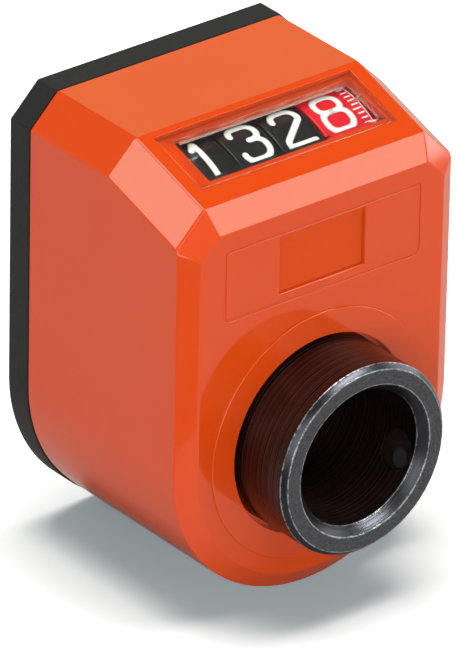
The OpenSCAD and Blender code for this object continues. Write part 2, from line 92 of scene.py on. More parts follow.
def copyOf(nodeName, pieceName, merge):
    # own copy of a solid, its loose triangles merged and flat areas joined
    piece = nodes[nodeName].copy()
    piece.data = nodes[nodeName].data.copy()
    piece.name = piece.data.name = pieceName
    piece.parent = None
    for key in list(piece.keys()):
        del piece[key]
    bpy.context.collection.objects.link(piece)
    onlySelect(piece)
    bpy.ops.mesh.customdata_custom_splitnormals_clear()
    bpy.ops.object.mode_set(mode="EDIT")
    bpy.ops.mesh.select_all(action="SELECT")
    bpy.ops.mesh.remove_doubles(threshold=merge * mm)
    bpy.ops.mesh.dissolve_limited(angle_limit=math.radians(flatWithin))
    bpy.ops.object.mode_set(mode="OBJECT")
    return piece


def isOpen(edge, loop, tree):
    # nothing of the piece stands in front of this face beside the edge
    middle = (edge.verts[0].co + edge.verts[1].co) / 2
    aside = edge.calc_tangent(loop) * probeSteps["aside"] * mm
    start = middle + aside + loop.face.normal * probeSteps["ahead"] * mm
    return tree.ray_cast(start, loop.face.normal)[0] is None


def roundEdges(piece, width, segments, sharp, pick, outerOnly=False):
    # bevels the convex edges that are sharper than an angle and that pick says yes to
    onlySelect(piece)
    bpy.ops.object.mode_set(mode="EDIT")
    bpy.ops.mesh.select_mode(type="EDGE")
    bpy.ops.mesh.select_all(action="DESELECT")
    mesh = bmesh.from_edit_mesh(piece.data)
    chosen = 0
    tree = BVHTree.FromBMesh(mesh)
    for edge in mesh.edges:
        if len(edge.link_faces) == 2 and edge.calc_face_angle_signed() > math.radians(sharp):
            middle = (edge.verts[0].co + edge.verts[1].co) / 2 / mm
            if not pick(middle):
                continue
            if not outerOnly or all(isOpen(edge, loop, tree) for loop in edge.link_loops):
                edge.select = True
                chosen += 1
    bmesh.update_edit_mesh(piece.data)
    bpy.ops.mesh.bevel(offset=width * mm, segments=segments, profile=0.5, affect="EDGES",
                       clamp_overlap=False)
    bpy.ops.object.mode_set(mode="OBJECT")
    print(" ", piece.name, "edges rounded:", chosen)


def smoothFlats(piece, angle):
    # smooth shading on the rounded edges, flat areas kept flat
    onlySelect(piece)
    bpy.ops.object.shade_smooth_by_angle(angle=math.radians(angle))
    flats = piece.modifiers.new("flats", "WEIGHTED_NORMAL")
    flats.keep_sharp = True
    flats.weight = 50
    bpy.ops.object.modifier_apply(modifier=flats.name)


# camera, at the photograph's viewing angle
cameraAim = {"azimuth": -39.121, "elevation": 28.6, "roll": 1.143, "distance": 935.019,
             "target": (-1.735, -15.0, 6.307), "focalPixels": 9858.224, "longSide": 664, "sensor": 36.0}


def placeCamera(aim):
    bpy.ops.object.camera_add()
    camera = bpy.context.object
    camera.name = "photo_camera"
    a, e, r = (math.radians(aim[k]) for k in ("azimuth", "elevation", "roll"))
    back = Vector((math.sin(a) * math.cos(e), -math.cos(a) * math.cos(e), math.sin(e)))
    right = Vector((math.cos(a), math.sin(a), 0))
    up = back.cross(right)
    across = right * math.cos(r) + up * math.sin(r)
    upward = up * math.cos(r) - right * math.sin(r)
    turn = Matrix((across, upward, back)).transposed().to_4x4()
    place = (Vector(aim["target"]) + back * aim["distance"]) * mm
    camera.matrix_world = Matrix.Translation(place) @ turn
    camera.data.sensor_width = aim["sensor"]
    camera.data.lens = aim["focalPixels"] * aim["sensor"] / aim["longSide"]
    camera.data.clip_start, camera.data.clip_end = 0.01, 50
    bpy.context.scene.camera = camera


placeCamera(cameraAim)
print("camera placed")


# materials

# the sunk plate on the front: its place in mm, and how much duller it is than the rest
plateArea = {"middle": 19.395, "halfWide": 5.08, "halfTall": 2.98, "front": -25.5, "dulling": 0.4,
             "sheen": 0.5, "sheenDrop": -0.3}


def orangePolyamide():
    # polyamide from a polished mould: even strong orange, glossy, a faint flow mottle and a slight ripple
    material, tree = newMaterial("orange_polyamide_moulded")
    place = add(tree, "ShaderNodeTexCoord").outputs["Object"]
    flow = add(tree, "ShaderNodeTexNoise", {}, {"Vector": place, "Scale": perSize(11), "Detail": 2.0})
    tint = add(tree, "ShaderNodeMix", {"data_type": "RGBA"},
               {0: flow.outputs[0], 6: hexColour("#E0460E"), 7: hexColour("#E44D11")})
    haze = add(tree, "ShaderNodeTexNoise", {}, {"Vector": place, "Scale": perSize(1.6), "Detail": 3.0})
    # the plate is spark-eroded, so duller
    split = add(tree, "ShaderNodeSeparateXYZ", {}, {"Vector": place})
    aside = add(tree, "ShaderNodeMath", {"operation": "ABSOLUTE"}, {0: split.outputs[0]})
    level = add(tree, "ShaderNodeMath", {"operation": "SUBTRACT"},
                {0: split.outputs[2], 1: plateArea["middle"] * mm})
    level = add(tree, "ShaderNodeMath", {"operation": "ABSOLUTE"}, {0: level.outputs[0]})
    inside = add(tree, "ShaderNodeMath", {"operation": "LESS_THAN"},
                 {0: aside.outputs[0], 1: plateArea["halfWide"] * mm})
    within = add(tree, "ShaderNodeMath", {"operation": "LESS_THAN"},
                 {0: level.outputs[0], 1: plateArea["halfTall"] * mm})
    front = add(tree, "ShaderNodeMath", {"operation": "LESS_THAN"},
                {0: split.outputs[1], 1: plateArea["front"] * mm})
    area = add(tree, "ShaderNodeMath", {"operation": "MULTIPLY"}, {0: inside.outputs[0], 1: within.outputs[0]})
    area = add(tree, "ShaderNodeMath", {"operation": "MULTIPLY"}, {0: area.outputs[0], 1: front.outputs[0]})
    polish = add(tree, "ShaderNodeMapRange", {}, {"Value": haze.outputs[0], "To Min": 0.04, "To Max": 0.08})
    gloss = add(tree, "ShaderNodeMath", {"operation": "MULTIPLY_ADD"},
                {0: area.outputs[0], 1: plateArea["dulling"], 2: polish.outputs[0]})
    sheen = add(tree, "ShaderNodeMath", {"operation": "MULTIPLY_ADD"},
                {0: area.outputs[0], 1: plateArea["sheenDrop"], 2: plateArea["sheen"]})
    # the mould's ripple is a few microns deep, drawn at 0.7 mm so that it shows at all
    ripple = add(tree, "ShaderNodeTexNoise", {}, {"Vector": place, "Scale": perSize(0.7), "Detail": 1.0})
    bump = add(tree, "ShaderNodeBump", {},
               {"Height": ripple.outputs[0], "Strength": 0.04, "Distance": 0.02 * mm})
    shader = add(tree, "ShaderNodeBsdfPrincipled", {},
                 {"Base Color": tint.outputs[2], "Roughness": gloss.outputs[0], "IOR": 1.5,
                  "Specular IOR Level": sheen.outputs[0], "Normal": bump.outputs[0]})
    add(tree, "ShaderNodeOutputMaterial", {}, {"Surface": shader.outputs[0]})
    return material


# the window slope's outward direction, and the lean away from it at which the pane's walls start and are full
paneLean = {"facing": (0, -0.3057, 0.9521), "start": 0.95, "full": 0.6}


def clearAcrylic():
    # clear moulded acrylic: bright edges, a few soft scuffs in the gloss
    material, tree = newMaterial("clear_acrylic_moulded")
    place = add(tree, "ShaderNodeTexCoord").outputs["Object"]
    scuff = add(tree, "ShaderNodeTexNoise", {}, {"Vector": place, "Scale": perSize(2.5), "Detail": 4.0})
    facing = add(tree, "ShaderNodeTexCoord").outputs["Normal"]
    lean = add(tree, "ShaderNodeVectorMath", {"operation": "DOT_PRODUCT"}, {0: facing, 1: paneLean["facing"]})
    flat = add(tree, "ShaderNodeMath", {"operation": "ABSOLUTE"}, {0: lean.outputs["Value"]})
    # moulded walls are duller than the polished faces
    wall = add(tree, "ShaderNodeMapRange", {},
               {"Value": flat.outputs[0], "From Min": paneLean["start"], "From Max": paneLean["full"],
                "To Min": 0.0, "To Max": 0.35})
    gloss = add(tree, "ShaderNodeMath", {"operation": "MULTIPLY_ADD"},
                {0: scuff.outputs[0], 1: 0.04, 2: wall.outputs[0]})
    tint = add(tree, "ShaderNodeMix", {"data_type": "RGBA"},
               {0: scuff.outputs[0], 6: hexColour("#FFFFFF"), 7: hexColour("#F8FBFB")})
    shader = add(tree, "ShaderNodeBsdfPrincipled", {},
                 {"Base Color": tint.outputs[2], "Roughness": gloss.outputs[0], "IOR": 1.49,
                  "Transmission Weight": 1.0})
    # the rim is welded in, so the case's colour shows through its walls
    through = add(tree, "ShaderNodeBsdfTransparent", {}, {"Color": hexColour("#F4F7F7")})
    weld = add(tree, "ShaderNodeMapRange", {},
               {"Value": flat.outputs[0], "From Min": paneLean["start"], "From Max": paneLean["full"],
                "To Max": 0.85})
    rim = add(tree, "ShaderNodeMixShader", {},
              {0: weld.outputs[0], 1: shader.outputs[0], 2: through.outputs[0]})
    # lamp light passes straight through, so that the drums behind are lit
    shade = add(tree, "ShaderNodeLightPath").outputs["Is Shadow Ray"]
    mixed = add(tree, "ShaderNodeMixShader", {}, {0: shade, 1: rim.outputs[0], 2: through.outputs[0]})
    add(tree, "ShaderNodeOutputMaterial", {}, {"Surface": mixed.outputs[0]})
    return material


def mouldedPlastic(name, dark, light, roughLow, roughHigh, grain, depth):
    # satin moulded plastic: fine spark-eroded grain and a slight mottle
    material, tree = newMaterial(name)
    place = add(tree, "ShaderNodeTexCoord").outputs["Object"]
    mottle = add(tree, "ShaderNodeTexNoise", {}, {"Vector": place, "Scale": perSize(3.0), "Detail": 3.0})
    tint = add(tree, "ShaderNodeMix", {"data_type": "RGBA"},
               {0: mottle.outputs[0], 6: hexColour(dark), 7: hexColour(light)})
    spark = add(tree, "ShaderNodeTexNoise", {}, {"Vector": place, "Scale": perSize(grain), "Detail": 2.0})
    gloss = add(tree, "ShaderNodeMapRange", {},
                {"Value": spark.outputs[0], "To Min": roughLow, "To Max": roughHigh})
    bump = add(tree, "ShaderNodeBump", {},
               {"Height": spark.outputs[0], "Strength": 0.25, "Distance": depth * mm})
    shader = add(tree, "ShaderNodeBsdfPrincipled", {},
                 {"Base Color": tint.outputs[2], "Roughness": gloss.outputs[0], "IOR": 1.52,
                  "Normal": bump.outputs[0]})
    add(tree, "ShaderNodeOutputMaterial", {}, {"Surface": shader.outputs[0]})
    return material


def spongeRubber():
    # closed-cell sponge rubber, cut from sheet: dull dark grey with open cells on the cut edge
    material, tree = newMaterial("sponge_rubber_cut")
    place = add(tree, "ShaderNodeTexCoord").outputs["Object"]
    # the cells are about 0.15 mm, drawn at 0.3 mm so that they show
    cells = add(tree, "ShaderNodeTexVoronoi", {}, {"Vector": place, "Scale": perSize(0.3)})
    mottle = add(tree, "ShaderNodeTexNoise", {}, {"Vector": place, "Scale": perSize(1.2), "Detail": 4.0})
    blend = add(tree, "ShaderNodeMath", {"operation": "MULTIPLY"},
                {0: cells.outputs["Distance"], 1: mottle.outputs[0]})
    tint = add(tree, "ShaderNodeMix", {"data_type": "RGBA"},
               {0: blend.outputs[0], 6: hexColour("#0D0E0F"), 7: hexColour("#1E1F22")})
    gloss = add(tree, "ShaderNodeMapRange", {}, {"Value": mottle.outputs[0], "To Min": 0.6, "To Max": 0.8})
    bump = add(tree, "ShaderNodeBump", {}, {"Height": blend.outputs[0], "Strength": 0.5, "Distance": 0.05 * mm})
    shader = add(tree, "ShaderNodeBsdfPrincipled", {},
                 {"Base Color": tint.outputs[2], "Roughness": gloss.outputs[0], "IOR": 1.5,
                  "Normal": bump.outputs[0]})
    add(tree, "ShaderNodeOutputMaterial", {}, {"Surface": shader.outputs[0]})
    return material


def sealRubber():
    # nitrile rubber ring: black, smooth, with a dusty bloom
    material, tree = newMaterial("nitrile_rubber_moulded")
    place = add(tree, "ShaderNodeTexCoord").outputs["Object"]
    bloom = add(tree, "ShaderNodeTexNoise", {}, {"Vector": place, "Scale": perSize(0.8), "Detail": 4.0})
    tint = add(tree, "ShaderNodeMix", {"data_type": "RGBA"},
               {0: bloom.outputs[0], 6: hexColour("#141415"), 7: hexColour("#242425")})
    gloss = add(tree, "ShaderNodeMapRange", {}, {"Value": bloom.outputs[0], "To Min": 0.4, "To Max": 0.6})
    shader = add(tree, "ShaderNodeBsdfPrincipled", {},
                 {"Base Color": tint.outputs[2], "Roughness": gloss.outputs[0], "IOR": 1.52})
    add(tree, "ShaderNodeOutputMaterial", {}, {"Surface": shader.outputs[0]})
    return material


def brightSteel():
    # bright drawn steel: fine lengthwise draw marks
    material, tree = newMaterial("bright_drawn_steel")
    place = add(tree, "ShaderNodeTexCoord").outputs["Object"]
    along = add(tree, "ShaderNodeMapping", {}, {"Vector": place, "Scale": (0.02, 1.0, 1.0)})
    marks = add(tree, "ShaderNodeTexNoise", {},
                {"Vector": along.outputs[0], "Scale": perSize(0.12), "Detail": 3.0})
    tint = add(tree, "ShaderNodeMix", {"data_type": "RGBA"},
               {0: marks.outputs[0], 6: hexColour("#9EA1A5"), 7: hexColour("#C6C9CD")})
    gloss = add(tree, "ShaderNodeMapRange", {}, {"Value": marks.outputs[0], "To Min": 0.22, "To Max": 0.38})
    shader = add(tree, "ShaderNodeBsdfPrincipled", {},
                 {"Base Color": tint.outputs[2], "Roughness": gloss.outputs[0], "Metallic": 1.0})
    add(tree, "ShaderNodeOutputMaterial", {}, {"Surface": shader.outputs[0]})
    return material


# marks on the bushing in mm: edges where the oxide is rubbed through, as radius and depth, and how far it is;
# where the faced end and its level face begin; and how much deeper it begins at the bore
oxideMarks = {"edges": [(9.87, 32.95), (9.37, 33.5), (7.85, 33.5), (7.0, 32.55)], "reach": (0.021, 0.24),
              "bare": 0.02, "faced": (-32.8, -33.0), "level": (-33.38, -33.46), "boreWithin": 8.5,
              "boreDeeper": -0.45}


def blackOxideSteel():
    # turned steel, hot black oxide: brown-black with fine turning marks, greyer on the faced end, bright on
    # rubbed edges
    material, tree = newMaterial("black_oxide_turned_steel")
    place = add(tree, "ShaderNodeTexCoord").outputs["Object"]
    split = add(tree, "ShaderNodeSeparateXYZ", {}, {"Vector": place})
    flat = add(tree, "ShaderNodeCombineXYZ", {}, {"X": split.outputs[0], "Y": split.outputs[2]})
    radius = add(tree, "ShaderNodeVectorMath", {"operation": "LENGTH"}, {0: flat.outputs[0]}).outputs["Value"]
    profile = add(tree, "ShaderNodeCombineXYZ", {}, {"X": radius, "Y": split.outputs[1]})
    line = add(tree, "ShaderNodeMath", {"operation": "SUBTRACT"}, {0: radius, 1: split.outputs[1]})
    # the tool's feed is about 0.1 mm, drawn at 0.22 mm so that it shows
    turned = add(tree, "ShaderNodeTexNoise", {"noise_dimensions": "1D"},
                 {"W": line.outputs[0], "Scale": perSize(0.22), "Detail": 5.0, "Roughness": 0.7})
    patch = add(tree, "ShaderNodeTexNoise", {}, {"Vector": place, "Scale": perSize(5.0), "Detail": 4.0})
    lines = add(tree, "ShaderNodeMapRange", {}, {"Value": turned.outputs[0], "From Min": 0.35, "From Max": 0.7})
    streak = add(tree, "ShaderNodeMath", {"operation": "MULTIPLY"}, {0: lines.outputs[0], 1: patch.outputs[0]})
    brown = add(tree, "ShaderNodeMix", {"data_type": "RGBA"},
                {0: streak.outputs[0], 6: hexColour("#1C1311"), 7: hexColour("#6A4A42")})
    # the faced end takes in the bore's chamfer, which lies deeper than the outer one
    facedFrom, facedFull = (d * mm for d in oxideMarks["faced"])
    inner = add(tree, "ShaderNodeMath", {"operation": "LESS_THAN"}, {0: radius, 1: oxideMarks["boreWithin"] * mm})
    depth = add(tree, "ShaderNodeMath", {"operation": "MULTIPLY_ADD"},
                {0: inner.outputs[0], 1: oxideMarks["boreDeeper"] * mm, 2: split.outputs[1]})
    faced = add(tree, "ShaderNodeMapRange", {},
                {"Value": depth.outputs[0], "From Min": facedFrom, "From Max": facedFull})
    grain = add(tree, "ShaderNodeTexNoise", {}, {"Vector": place, "Scale": perSize(0.16), "Detail": 3.0})
    speck = add(tree, "ShaderNodeMapRange", {}, {"Value": grain.outputs[0], "From Min": 0.3, "From Max": 0.7})
    grey = add(tree, "ShaderNodeMix", {"data_type": "RGBA"},
               {0: speck.outputs[0], 6: hexColour("#393A3F"), 7: hexColour("#5C5E63")})
    levelFrom, levelFull = (d * mm for d in oxideMarks["level"])
    level = add(tree, "ShaderNodeMapRange", {},
                {"Value": split.outputs[1], "From Min": levelFrom, "From Max": levelFull})
    front = add(tree, "ShaderNodeMix", {"data_type": "RGBA"},
                {0: level.outputs[0], 6: hexColour("#303135"), 7: grey.outputs[2]})
    body = add(tree, "ShaderNodeMix", {"data_type": "RGBA"},
               {0: faced.outputs[0], 6: brown.outputs[2], 7: front.outputs[2]})
    nearest = None
    for r, d in oxideMarks["edges"]:
        gap = add(tree, "ShaderNodeVectorMath", {"operation": "DISTANCE"},
                  {0: profile.outputs[0], 1: (r * mm, -d * mm, 0)}).outputs["Value"]
        if nearest is None:
            nearest = gap
        else:
            nearest = add(tree, "ShaderNodeMath", {"operation": "MINIMUM"}, {0: nearest, 1: gap}).outputs[0]
    rub = add(tree, "ShaderNodeTexNoise", {},
              {"Vector": place, "Scale": perSize(0.45), "Detail": 5.0, "Roughness": 0.75})
    reachLeast, reachMost = (d * mm for d in oxideMarks["reach"])
    reach = add(tree, "ShaderNodeMapRange", {}, {"Value": rub.outputs[0], "From Min": 0.42, "From Max": 0.7,
                                                 "To Min": reachLeast, "To Max": reachMost})
    worn = add(tree, "ShaderNodeMapRange", {"interpolation_type": "SMOOTHSTEP"},
               {"Value": nearest, "From Min": reach.outputs[0], "From Max": oxideMarks["bare"] * mm,
                "To Min": 0.0, "To Max": 1.0})
    colour = add(tree, "ShaderNodeMix", {"data_type": "RGBA"},
                 {0: worn.outputs[0], 6: body.outputs[2], 7: hexColour("#A2A5A9")})
    gloss = add(tree, "ShaderNodeMapRange", {}, {"Value": streak.outputs[0], "To Min": 0.24, "To Max": 0.46})
    height = add(tree, "ShaderNodeMath", {"operation": "MULTIPLY_ADD"},
                 {0: grain.outputs[0], 1: 0.5, 2: turned.outputs[0]})
    bump = add(tree, "ShaderNodeBump", {},
               {"Height": height.outputs[0], "Strength": 0.5, "Distance": 0.03 * mm})
    shader = add(tree, "ShaderNodeBsdfPrincipled", {},
                 {"Base Color": colour.outputs[2], "Roughness": gloss.outputs[0], "Metallic": 0.85,
                  "Normal": bump.outputs[0]})
    add(tree, "ShaderNodeOutputMaterial", {}, {"Surface": shader.outputs[0]})
    return material


# rubbed spot on the screw's tip, in mm
rubbedTip = {"at": (6.507, -30.8, -3.028), "inner": 0.85, "outer": 1.05}


def rubbedScrewSteel():
    # set screw in black oxide, its tip rubbed to dull grey by the spindle
    material, tree = newMaterial("black_oxide_set_screw")
    place = add(tree, "ShaderNodeTexCoord").outputs["Object"]
    off = add(tree, "ShaderNodeVectorMath", {"operation": "DISTANCE"},
              {0: place, 1: [c * mm for c in rubbedTip["at"]]})
    rubs = add(tree, "ShaderNodeTexNoise", {}, {"Vector": place, "Scale": perSize(0.6), "Detail": 3.0})
    dark = add(tree, "ShaderNodeMix", {"data_type": "RGBA"},
               {0: rubs.outputs[0], 6: hexColour("#1C1311"), 7: hexColour("#4A3A36")})
    bare = add(tree, "ShaderNodeMix", {"data_type": "RGBA"},
               {0: rubs.outputs[0], 6: hexColour("#4A4B4D"), 7: hexColour("#626366")})
    tip = add(tree, "ShaderNodeMapRange", {},
              {"Value": off.outputs["Value"], "From Min": rubbedTip["outer"] * mm,
               "From Max": rubbedTip["inner"] * mm})
    colour = add(tree, "ShaderNodeMix", {"data_type": "RGBA"},
                 {0: tip.outputs[0], 6: dark.outputs[2], 7: bare.outputs[2]})
    gloss = add(tree, "ShaderNodeMapRange", {}, {"Value": rubs.outputs[0], "To Min": 0.4, "To Max": 0.55})
    shader = add(tree, "ShaderNodeBsdfPrincipled", {},
                 {"Base Color": colour.outputs[2], "Roughness": gloss.outputs[0], "Metallic": 0.85})
    add(tree, "ShaderNodeOutputMaterial", {}, {"Surface": shader.outputs[0]})
    return material


def whiteInk():
    # pad-printed white ink: nearly solid, with slight thin spots
    material, tree = newMaterial("white_pad_print_ink")
    place = add(tree, "ShaderNodeTexCoord").outputs["Object"]
    thin = add(tree, "ShaderNodeTexNoise", {}, {"Vector": place, "Scale": perSize(0.5), "Detail": 3.0})
    tint = add(tree, "ShaderNodeMix", {"data_type": "RGBA"},
               {0: thin.outputs[0], 6: hexColour("#DEDEDB"), 7: hexColour("#EAEAE7")})
    gloss = add(tree, "ShaderNodeMapRange", {}, {"Value": thin.outputs[0], "To Min": 0.4, "To Max": 0.55})
    shader = add(tree, "ShaderNodeBsdfPrincipled", {},
                 {"Base Color": tint.outputs[2], "Roughness": gloss.outputs[0], "IOR": 1.5})
    add(tree, "ShaderNodeOutputMaterial", {}, {"Surface": shader.outputs[0]})
    return material


finishes = {
    "orange": orangePolyamide(),
    "clear": clearAcrylic(),
    "base": mouldedPlastic("black_polyamide_glass_filled", "#1E1F22", "#2C2D31", 0.42, 0.6, 0.25, 0.012),
    "foam": spongeRubber(),
    "seal": sealRubber(),
    "steel": brightSteel(),
    "oxide": blackOxideSteel(),
    "screw": rubbedScrewSteel(),
    "gear": mouldedPlastic("natural_acetal_moulded", "#D2CEBF", "#E2DFD3", 0.32, 0.45, 0.3, 0.006),
    "redDrum": mouldedPlastic("red_abs_moulded", "#C8031A", "#D20A20", 0.16, 0.24, 0.3, 0.003),
    "blackDrum": mouldedPlastic("black_abs_moulded", "#0E0F10", "#161718", 0.16, 0.24, 0.3, 0.003),
    "ink": whiteInk(),
}
nodeFinish = {
    "base": ["rear_base"],
    "blackDrum": ["carrier_tens", "carrier_hundreds", "carrier_thousands"],
    "seal": ["front_seal", "rear_seal"],
    "steel": ["drum_shaft", "lay_pin", "idler_pin", "retaining_ring"],
    "screw": ["grub_screw"],
    "gear": ["crown_gear", "lay_gear", "idler_gear", "pinion_tens", "pinion_hundreds", "pinion_thousands"],
}
for finish, members in nodeFinish.items():
    for member in members:
        paint(nodes[member], finishes[finish])
print("materials ready:", len(finishes))


# case: the solid's faces with rounded edges
caseShell = {"merge": 0.1, "edge": 0.15, "edgeSteps": 3, "sharp": 12, "sunkSharp": 40, "smooth": 32,
             "slopeStart": 14.9, "slopeAngle": 17.8, "top": 30.6, "frontFace": (26.46, 26.55),
             "frontArea": {"depth": 25.9, "half": 13.4, "high": 23.4},
             "plate": {"edge": 0.18, "steps": 3, "half": 5.2, "low": 16.3, "high": 22.5},
             "ring": {"edge": 0.09, "steps": 3, "radii": (10.3, 12.95), "depth": 26.6, "near": 0.06},
             "groove": {"edge": 0.1, "steps": 3, "half": 11.95, "low": 15.2, "high": 23.2},
             "pocket": {"edge": 0.06, "steps": 3, "half": 11.9, "low": 0.4, "high": 8.6, "floor": -3,
                        "near": 0.05}}


def slopePlace(p):
    # distance down the window slope and above it
    a = math.radians(caseShell["slopeAngle"])
    d, z = -p.y - caseShell["slopeStart"], p.z - caseShell["top"]
    return d * math.cos(a) - z * math.sin(a), d * math.sin(a) + z * math.cos(a)


def onBody(p):
    # the big facets' edges, away from the sunk areas and the ring
    pocket, area = caseShell["pocket"], caseShell["frontArea"]
    u, above = slopePlace(p)
    inPocket = abs(p.x) < pocket["half"] and pocket["low"] < u < pocket["high"] and above > pocket["floor"]
    onFront = -p.y > area["depth"] and abs(p.x) < area["half"] and -area["half"] < p.z < area["high"]
    return not inPocket and not onFront


def onFrontFace(p):
    first, last = caseShell["frontFace"]
    return first < -p.y < last


def onPlate(p):
    plate = caseShell["plate"]
    return onFrontFace(p) and abs(p.x) < plate["half"] and plate["low"] < p.z < plate["high"]


def onRing(p):
    ring = caseShell["ring"]
    return -p.y > ring["depth"] and any(abs(math.hypot(p.x, p.z) - r) < ring["near"] for r in ring["radii"])


def onGroove(p):
    groove = caseShell["groove"]
    beside = abs(p.x) < groove["half"] and groove["low"] < p.z < groove["high"]
    return onFrontFace(p) and beside and not onPlate(p)


def onPocket(p):
    pocket = caseShell["pocket"]
    u, above = slopePlace(p)
    return abs(above) < pocket["near"] and abs(p.x) < pocket["half"] and pocket["low"] < u < pocket["high"]


shell = copyOf("case", "case_shell", caseShell["merge"])
roundEdges(shell, caseShell["edge"], caseShell["edgeSteps"], caseShell["sharp"], onBody, outerOnly=True)
for name, pick in (("plate", onPlate), ("ring", onRing), ("groove", onGroove), ("pocket", onPocket)):
    roundEdges(shell, caseShell[name]["edge"], caseShell[name]["steps"], caseShell["sunkSharp"], pick)
smoothFlats(shell, caseShell["smooth"])
paint(shell, finishes["orange"])
shell.visible_diffuse = False  # keeps the floor's shadow neutral, as in the photograph
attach(shell, "case_body")
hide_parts("case")
print("case shell made")


# window pane with eased edges
windowPane = {"merge": 0.01, "edge": 0.2, "edgeSteps": 3, "sharp": 30, "lip": -0.5, "smooth": 35}
pane = copyOf("window", "window_pane", windowPane["merge"])
roundEdges(pane, windowPane["edge"], windowPane["edgeSteps"], windowPane["sharp"],
           lambda p: slopePlace(p)[1] > windowPane["lip"])
smoothFlats(pane, windowPane["smooth"])
paint(pane, finishes["clear"])
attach(pane, "case_body")
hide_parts("window")
print("window pane made")


# sponge gasket with softened cut edges
gasketPad = {"merge": 0.01, "edge": 0.15, "edgeSteps": 2, "sharp": 30, "smooth": 35}
gasket = copyOf("rear_gasket", "gasket_pad", gasketPad["merge"])
roundEdges(gasket, gasketPad["edge"], gasketPad["edgeSteps"], gasketPad["sharp"], lambda p: True)
smoothFlats(gasket, gasketPad["smooth"])
paint(gasket, finishes["foam"])
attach(gasket, "case_body")
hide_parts("rear_gasket")
print("gasket made")


# bushing with broken edges
bushingTurned = {"merge": 0.01, "edge": 0.07, "edgeSteps": 2, "sharp": 25, "from": 26, "smooth": 30}
bushing = copyOf("bushing", "bushing_turned", bushingTurned["merge"])
roundEdges(bushing, bushingTurned["edge"], bushingTurned["edgeSteps"], bushingTurned["sharp"],
           lambda p: -p.y > bushingTurned["from"])
smoothFlats(bushing, bushingTurned["smooth"])
paint(bushing, finishes["oxide"])
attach(bushing, "bushing_body")
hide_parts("bushing")
print("bushing made")


# number drums: rounded rims, printed digits
drumSet = {"axis": (-14.7, 18.75), "radius": 9.3, "rim": 0.15, "rimSteps": 3, "rimSharp": 60, "rimFrom": 9.22,
           "smooth": 30, "merge": 0.002, "angle": 19.0, "step": 36.0,
           "drums": [("thousands", -7.3, 1), ("hundreds", -2.05, 3), ("tens", 2.92, 2), ("units", 7.97, 8)]}
# digit strokes: closed or not, then corners as across, up and corner radius in mm
digitStrokes = {
    "width": 0.7, "ink": 0.05, "lift": 0.012, "cornerSteps": 6, "pitch": 0.3, "capSteps": (0.4, 0.7, 0.9, 1.0),
    "merge": 0.002,
    0: [(True, [(-1.45, 2.18, 1.2), (1.45, 2.18, 1.2), (1.45, -2.18, 1.2), (-1.45, -2.18, 1.2)])],
    1: [(False, [(-0.75, 1.3, 0), (-0.1, 2.18, 0.05), (-0.1, -2.18, 0)])],
    2: [(False, [(-1.4, 1.2, 0), (-1.4, 2.18, 0.95), (1.4, 2.18, 1.0), (1.4, 0.75, 0.7), (-1.4, -1.5, 0.5),
                 (-1.4, -2.18, 0.1), (1.45, -2.18, 0)])],
    3: [(False, [(-1.45, 1.3, 0), (-1.45, 2.18, 0.8), (1.35, 2.18, 1.0), (1.35, 0.2, 0.85), (0.1, 0.2, 0)]),
        (False, [(0.35, 0.2, 0), (1.45, 0.2, 0.95), (1.45, -2.18, 1.1), (-1.45, -2.18, 0.85),
                 (-1.45, -1.3, 0)])],
    4: [(False, [(0.35, 2.18, 0), (-1.45, -0.9, 0.1), (1.45, -0.9, 0)]),
        (False, [(0.7, 0.35, 0), (0.7, -2.18, 0)])],
    5: [(False, [(1.3, 2.18, 0), (-1.25, 2.18, 0.1), (-1.35, 0.4, 0.1), (1.45, 0.4, 1.1), (1.45, -2.18, 1.1),
                 (-1.45, -2.18, 0.85), (-1.45, -1.45, 0)])],
    6: [(True, [(-1.45, 0.35, 1.0), (1.45, 0.35, 1.0), (1.45, -2.18, 1.1), (-1.45, -2.18, 1.1)]),
        (False, [(-1.45, -0.9, 0), (-1.45, 2.18, 1.2), (1.3, 2.18, 0.85), (1.3, 1.4, 0)])],
    7: [(False, [(-1.45, 2.18, 0), (1.45, 2.18, 0.2), (-0.35, -2.18, 0)])],
    8: [(True, [(-1.32, 2.18, 0.9), (1.32, 2.18, 0.9), (1.32, 0.15, 0.8), (-1.32, 0.15, 0.8)]),
        (True, [(-1.45, 0.15, 0.9), (1.45, 0.15, 0.9), (1.45, -2.18, 1.0), (-1.45, -2.18, 1.0)])],
    9: [(True, [(-1.45, 2.18, 1.1), (1.45, 2.18, 1.1), (1.45, -0.35, 1.0), (-1.45, -0.35, 1.0)]),
        (False, [(1.45, 0.9, 0), (1.45, -2.18, 1.2), (-1.3, -2.18, 0.85), (-1.3, -1.4, 0)])],
}


def roundPath(corners, closed, steps):
    # points along a path whose corners are rounded by their own radii
    path = []
    for i, (x, y, r) in enumerate(corners):
        here = Vector((x, y))
        if r == 0 or (not closed and i in (0, len(corners) - 1)):
            path.append(here)
            continue
        before = (Vector(corners[i - 1][:2]) - here).normalized()
        after = (Vector(corners[(i + 1) % len(corners)][:2]) - here).normalized()
        half = before.angle(after) / 2
        centre = here + (before + after).normalized() * (r / math.sin(half))
        start = here + before * (r / math.tan(half)) - centre
        end = here + after * (r / math.tan(half)) - centre
        first = math.atan2(start.y, start.x)
        sweep = (math.atan2(end.y, end.x) - first + math.pi) % (2 * math.pi) - math.pi
        for k in range(steps + 1):
            a = first + sweep * k / steps
            path.append(centre + Vector((math.cos(a), math.sin(a))) * r)
    # long runs get points in between, so that the print can follow the drum
    fine = []
    for i, here in enumerate(path):
        fine.append(here)
        if closed or i < len(path) - 1:
            onward = path[(i + 1) % len(path)]
            parts = math.ceil((onward - here).length / digitStrokes["pitch"])
            fine += [here.lerp(onward, k / parts) for k in range(1, parts)]
    return fine


